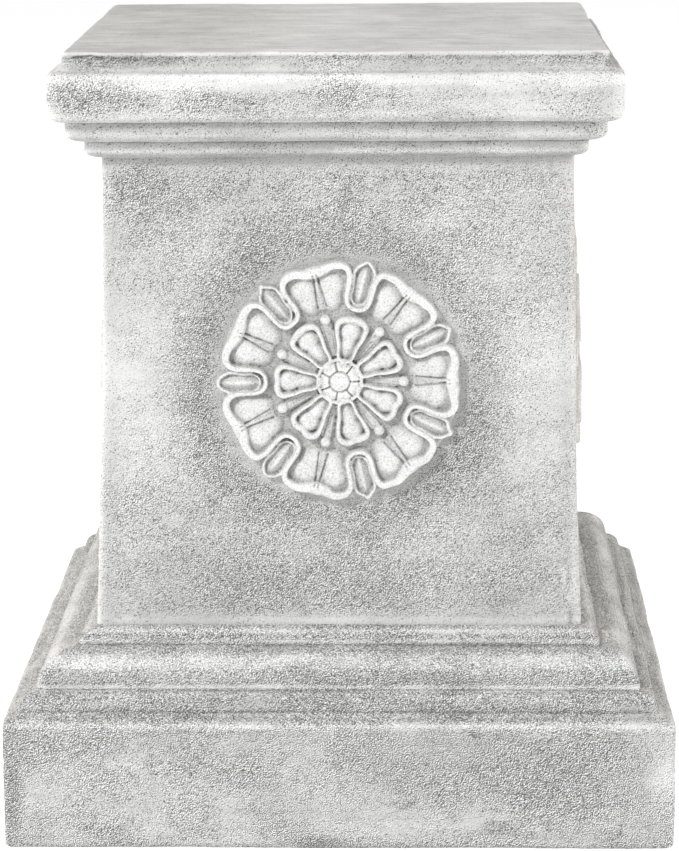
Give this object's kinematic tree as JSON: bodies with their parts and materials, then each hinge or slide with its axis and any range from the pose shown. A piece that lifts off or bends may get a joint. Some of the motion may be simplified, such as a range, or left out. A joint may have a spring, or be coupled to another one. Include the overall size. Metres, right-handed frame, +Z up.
{
  "type": "garden plinth",
  "caption": "Low square cast-stone garden plinth: stepped base mouldings, flared dado with a rosette in relief on each side, and a moulded cap with a flat top.",
  "frame": {"origin": "centre of the underside", "axes": "+Z up; -Y is the front face in the picture, and the other sides are alike"},
  "size_m": [0.3, 0.3, 0.353],
  "materials": {
    "cast_stone": "matt off-white to light grey cast stone, finely pitted, with brushed smoother patches and darker dirt in the creases"
  },
  "bodies": {
    "root": {"plinth": "cast_stone"}
  },
  "joints": []
}
